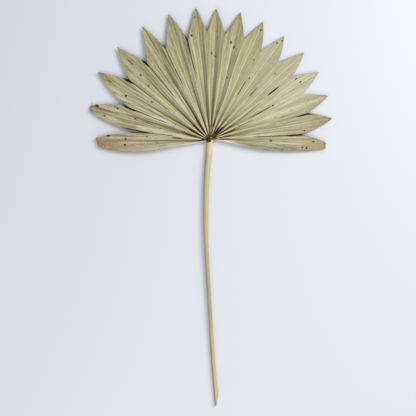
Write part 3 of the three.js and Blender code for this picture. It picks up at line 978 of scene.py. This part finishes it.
def thread_tree():
    tree, start, size = new_tree("threads", ["Radius", "Drop"], surface=True)
    grid, across, along = grid_on_points(tree, start.outputs["Geometry"], THREAD_SIDES, THREAD_ROWS)
    hit = dropped_on(tree, start, size["Drop"])
    root_x, root_y, root_z = split(tree, hit.outputs["Hit Position"])
    turn = across * math.pi
    bend = value_of(tree, "curl") * along
    heading = value_of(tree, "heading") + bend
    run = along * value_of(tree, "length")
    tube = size["Radius"] * (along * (1 - along) * 40).at_most(1).at_least(0)
    aside = turn.sin() * tube * -1
    x = root_x + heading.cos() * run - heading.sin() * aside
    y = root_y + heading.sin() * run + heading.cos() * aside
    rise = (along * math.pi).sin() * THREAD_RISE
    z = root_z + rise + turn.cos() * tube
    return finish_tree(tree, start, joined(tree, moved(tree, grid, vector(tree, x, y, z))))


THREAD_BROWN = (0.10, 0.075, 0.04, 1)
THREAD_STRAW = (0.36, 0.30, 0.18, 1)


def thread_finish():
    coat = Coat("thread", THREAD_BROWN, roughness=0.7, specular=0.3)
    mottle = coat.flecks(500.0)
    coat.cover(mottle.within(0.4, 0.65), THREAD_STRAW)
    return coat.dried(mottle, depth=0.1 * MM, strength=0.3)


thread_sizes = {"Radius": THREAD_RADIUS, "Drop": SCAR_DROP, "Surface": blade}
threads = grow("threads", thread_tree(), thread_points(), thread_sizes, thread_finish())
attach(threads, "root")


# The stem is the leaf's stalk: half woody, slightly flattened and grooved along its length, thickest at
# the hub. It bows a little off the surface, and its foot was cut off slantwise with a knife.
STEM_SIDES = 49
STEM_ROWS = 270
# Its middle line from the hub down, and its width from end to end, in millimetres.
STEM_LINE = [
    (-0.6, 4.6), (-3.3, -30), (-6.0, -66), (-7.2, -130),
    (-4.8, -190), (-1, -256), (3.8, -330), (9.8, -400.3),
]
STEM_WIDTHS = [9.2, 8.6, 7.4, 6.2, 5.8, 5.6, 5.6, 5.8, 6.0]
STEM_FLATNESS = 0.8
STEM_BOW = 2.5 * MM
GROOVES = 7
GROOVE_DEPTH = 0.035
CUT_LENGTH = 13 * MM
CUT_WIDTH = 3.6 * MM
CUT_POINT = 1.8 * MM
END_TAPER = 0.4 * MM
CUT_TOLERANCE = 0.05 * MM


def read_off(table, step):
    """The value at a step between two entries of a table."""
    number = min(int(step), len(table) - 2)
    part = step - number
    return table[number] * (1 - part) + table[number + 1] * part


def stem_points():
    """The stem's middle line as a chain of points, each with the stem's radius there."""
    places = [HUB + Vector((x, y, 0)) * MM for x, y in STEM_LINE]
    lengths = [0]
    for here, there in zip(places, places[1:]):
        lengths.append(lengths[-1] + (there - here).length)
    rows = []
    for place, length in zip(places, lengths):
        share = length / lengths[-1]
        radius = read_off(STEM_WIDTHS, share * (len(STEM_WIDTHS) - 1)) / 2 * MM
        place.z = STEM_BOW * math.sin(math.pi * share) + radius * STEM_FLATNESS
        rows.append({"thick": radius})
    edges = [(i, i + 1) for i in range(len(places) - 1)]
    return points_with("stem_line", rows, places, edges)


def stem_tree():
    tree, start, size = new_tree("grooved_stem", ["Flatness", "Cut length", "Cut width", "Cut point"])
    line = result(tree, "GeometryNodeMeshToCurve", {"Mesh": start.outputs["Geometry"]})
    line = result(tree, "GeometryNodeCurveSplineType", {"Curve": line}, spline_type="CATMULL_ROM")
    grid, across, along = flat_grid(tree, STEM_SIDES, STEM_ROWS)
    turn = across * math.pi
    values = {"Curves": line, "Value": value_of(tree, "thick"), "Factor": along}
    spot = add(tree, "GeometryNodeSampleCurve", values, data_type="FLOAT", mode="FACTOR")
    thick = Field(tree, spot.outputs["Value"])
    length = Field(tree, result(tree, "GeometryNodeCurveLength", {"Curve": line}))
    from_foot = (1 - along) * length
    from_top = along * length
    dome = (1 - (1 - from_top / thick).at_least(0) ** 2).math("SQRT")
    grooved = (turn * GROOVES + noise(tree, (along * 6, 0, 0), detail=1) * 4).sin()
    knotty = noise(tree, (turn.cos(), turn.sin(), from_top * 60), 1.2)
    uneven = from_foot.within(size["Cut length"] * 0.6, size["Cut length"] * 1.2)
    girth = thick * (1 + (grooved * GROOVE_DEPTH + (knotty - 0.5) * 0.12) * uneven) * dome
    knife = thick - size["Cut point"] - from_foot / size["Cut length"] * size["Cut width"]
    aside = (turn.sin() * girth).at_least(knife)
    cut_share = (knife / girth).at_least(0).at_most(1)
    cut_height = (1 - cut_share * cut_share).math("SQRT") * girth
    upright = (turn.cos() * girth).at_most(cut_height).at_least(cut_height * -1)
    height = upright * size["Flatness"] * (from_foot / END_TAPER).at_most(1)
    grid = store(tree, grid, "place", vector(tree, turn, from_top, from_foot), "CORNER", "FLOAT_VECTOR")
    grid = store(tree, grid, "sliced", aside.math("COMPARE", knife, CUT_TOLERANCE), "POINT")
    side = vector_math(tree, "CROSS_PRODUCT", spot.outputs["Tangent"], (0, 0, -1))
    side = vector_math(tree, "NORMALIZE", side, (0, 0, 0))
    side = vector_math(tree, "SCALE", side, aside * -1)
    skin = vector_math(tree, "ADD", spot.outputs["Position"], side)
    skin = vector_math(tree, "ADD", skin, vector(tree, 0, 0, height))
    return finish_tree(tree, start, joined(tree, moved(tree, grid, skin)))


STEM_TAN = (0.53, 0.435, 0.25, 1)
STEM_PALE = (0.66, 0.58, 0.355, 1)
STEM_GREEN = (0.60, 0.56, 0.29, 1)
STEM_RUST = (0.42, 0.26, 0.12, 1)
STEM_PEACH = (0.70, 0.46, 0.22, 1)
STEM_DULL = (0.25, 0.25, 0.19, 1)
STEM_CREAM = (0.86, 0.66, 0.40, 1)
STEM_SHADE = (0.30, 0.215, 0.10, 1)
CUT_WOOD = (0.62, 0.50, 0.30, 1)


def stem_finish():
    coat = Coat("stalk_skin", STEM_TAN, roughness=0.5, specular=0.4)
    turn, down, _ = placed(coat.tree)
    far = down / MM
    ring_x = turn.cos()
    ring_y = turn.sin()

    def grain(count, along, detail):
        return noise(coat.tree, (ring_x * count, ring_y * count, down * along), detail=detail)

    coat.cover(grain(3, 14, 3).within(0.35, 0.65), STEM_PALE)
    green = far.between(30, 70, 130, 180) + far.between(320, 360, 375, 395)
    coat.cover(green * (grain(0.8, 20, 2) * 1.1 + 0.2).at_most(1) * 0.85, STEM_GREEN)
    coat.cover(far.between(150, 230, 255, 320) * 0.45, STEM_DULL)
    coat.cover(far.before(12, 32) * 0.75, STEM_CREAM)
    coat.cover(grain(1.2, 22, 3).within(0.58, 0.75) * 0.6, STEM_RUST)
    blush = far.between(106, 122, 126, 142) + far.between(318, 338, 344, 356)
    coat.cover(blush * 0.45, STEM_PEACH)
    # Painted shade down the left side, away from the light, stronger in two stretches; and a narrower band
    # of painted shade along the left edge near the hub.
    left_shade = far.within(60, 130) * 0.3 + far.within(260, 330) * 0.45 + 0.2
    coat.cover(ring_y.within(0.15, 0.9) * left_shade, STEM_SHADE)
    coat.cover(ring_y.within(0.55, 0.95) * far.before(60, 130) * 0.5, STEM_SHADE)
    fibres = grain(11, 20, 3)
    coat.cover(fibres.within(0.52, 0.75) * 0.4, STEM_RUST)
    coat.cover(painted(coat.tree, "sliced") * 0.8, CUT_WOOD)
    return coat.dried(fibres, depth=0.25 * MM, strength=0.45)


stem_sizes = {
    "Flatness": STEM_FLATNESS,
    "Cut length": CUT_LENGTH,
    "Cut width": CUT_WIDTH,
    "Cut point": CUT_POINT,
}
stem = grow("stalk", stem_tree(), stem_points(), stem_sizes, stem_finish())
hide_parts("stem")
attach(stem, "root")


# The crust is what is left of the woody tongue on top of the hub, crumbled and black with age. It has
# grown onto the end of the stem and over the roots of the folds.
CRUMBS = 90
CRUMB_RADII = (0.8 * MM, 1.9 * MM)
CRUST_LINE = [(-5.0, -1.2, 6.8), (-2.2, 1.2, 7.9), (0.8, 3.6, 8.1), (4.2, 5.0, 7.4), (8.6, 6.4, 6.4)]
CRUST_SPREAD = [1.3, 2.1, 2.3, 1.8, 0.8]
CRUST_GRAIN = 0.32 * MM
CRUMBLE = 1.32 * MM
CRUST_SKIN = 2 * MM


def crumb_points():
    """Places scattered along the crust's line, each with the size of a crumb."""
    chance = random.Random(11)
    line = [Vector(place) for place in CRUST_LINE]
    places = []
    rows = []
    for _ in range(CRUMBS):
        step = chance.uniform(0, len(line) - 1.001)
        aside = Vector((chance.gauss(0, 0.5), chance.gauss(0, 0.6), chance.gauss(0, 0.22)))
        place = read_off(line, step) + aside * read_off(CRUST_SPREAD, step)
        places.append(HUB + place * MM)
        rows.append({"crumb": chance.uniform(*CRUMB_RADII)})
    return points_with("crumbs", rows, places)


def crust_tree():
    tree, start, size = new_tree("crust", ["Grain", "Crumble"])
    ball = add(tree, "GeometryNodeMeshIcoSphere", {"Radius": 1.0, "Subdivisions": 3}).outputs["Mesh"]
    real = copied(tree, start.outputs["Geometry"], ball, Scale=value_of(tree, "crumb"))
    values = {"Mesh": real, "Voxel Size": size["Grain"]}
    cloud = add(tree, "GeometryNodeMeshToVolume", values, resolution_mode="VOXEL_SIZE")
    cloud.inputs["Interior Band Width"].default_value = CRUST_SKIN
    values = {"Volume": cloud.outputs[0], "Voxel Size": size["Grain"]}
    skin = result(tree, "GeometryNodeVolumeToMesh", values, resolution_mode="VOXEL_SIZE")
    rough = crumbled(tree, skin, fineness=620.0, detail=3.0, amount=size["Crumble"])
    return finish_tree(tree, start, result(tree, "GeometryNodeSetShadeSmooth", {"Geometry": rough}))


CRUST_BLACK = (0.028, 0.017, 0.003, 1)
CRUST_BROWN = (0.11, 0.066, 0.012, 1)
CRUST_OCHRE = (0.40, 0.27, 0.08, 1)


def crust_finish():
    coat = Coat("crust_crumbs", CRUST_BLACK, roughness=0.85, specular=0.12)
    mottle = coat.flecks(420.0, 4)
    coat.cover(mottle.within(0.4, 0.62), CRUST_BROWN)
    coat.cover(coat.flecks(260.0, 3).within(0.55, 0.67) * 0.85, CRUST_OCHRE)
    return coat.dried(mottle, depth=0.3 * MM, strength=0.6)


crust_sizes = {"Grain": CRUST_GRAIN, "Crumble": CRUMBLE}
crust = grow("crust", crust_tree(), crumb_points(), crust_sizes, crust_finish())
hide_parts("hastula")
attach(crust, "root")


# The scale is the papery end of that tongue. It is thin and fibrous, rises out of the crust and lies on
# the crests above it.
SCALE_COLUMNS = 15
SCALE_ROWS = 30
SCALE_ROOT = 7.5 * MM
SCALE_TIP = 23.5 * MM
SCALE_WIDTH = 2.3 * MM
SCALE_HEIGHTS = (8.3 * MM, 7.5 * MM)
SCALE_THICKNESS = 0.25 * MM
SCALE_LEAST = 0.25 * MM
SCALE_FRAY = 2.2 * MM
SCALE_SHIFT = 1.5 * MM
SCALE_ARCH = 0.7 * MM
SCALE_CRUMPLE = 0.8 * MM


def scale_tree():
    tree, start, size = new_tree("papery_scale", ["Root", "Tip", "Width", "Thickness"])
    grid, across, along = grid_on_points(tree, start.outputs["Geometry"], SCALE_COLUMNS, SCALE_ROWS)
    ragged = noise(tree, (across * 2, along * 9, 3), detail=3) - 0.5
    wide = ((along * 0.82 + 0.18) * math.pi).sin() ** 0.75 * size["Width"]
    x = across * (wide + SCALE_LEAST) + across ** 3 * ragged * SCALE_FRAY + HUB.x
    y = along * (size["Tip"] - size["Root"]) + size["Root"] + ragged * across * SCALE_SHIFT + HUB.y
    arch = (1 - across * across) * SCALE_ARCH + ragged * SCALE_CRUMPLE
    sag = along * (SCALE_HEIGHTS[1] - SCALE_HEIGHTS[0]) + SCALE_HEIGHTS[0]
    grid = store(tree, grid, "place", vector(tree, across, along, 0), "CORNER", "FLOAT_VECTOR")
    sheet = moved(tree, grid, vector(tree, x, y, sag + arch))
    return finish_tree(tree, start, thickened(tree, sheet, size["Thickness"]))


SCALE_GREY = (0.34, 0.29, 0.165, 1)
SCALE_BROWN = (0.13, 0.09, 0.042, 1)


def scale_finish():
    coat = Coat("papery_scale", SCALE_GREY, roughness=0.8, specular=0.2)
    across, along, _ = placed(coat.tree)
    fibres = noise(coat.tree, (across * 5, along * 5, 0), detail=3)
    coat.cover(fibres.within(0.38, 0.66), SCALE_BROWN)
    coat.cover((along + (fibres - 0.5)).before(0.1, 0.5) * 0.8, CRUST_BROWN)
    return coat.dried(fibres, depth=0.2 * MM, strength=0.5)


scale_sizes = {"Root": SCALE_ROOT, "Tip": SCALE_TIP, "Width": SCALE_WIDTH, "Thickness": SCALE_THICKNESS}
scale_start = points_with("scale", [{"one": 1}])
scale = grow("papery_scale", scale_tree(), scale_start, scale_sizes, scale_finish())
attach(scale, "root")
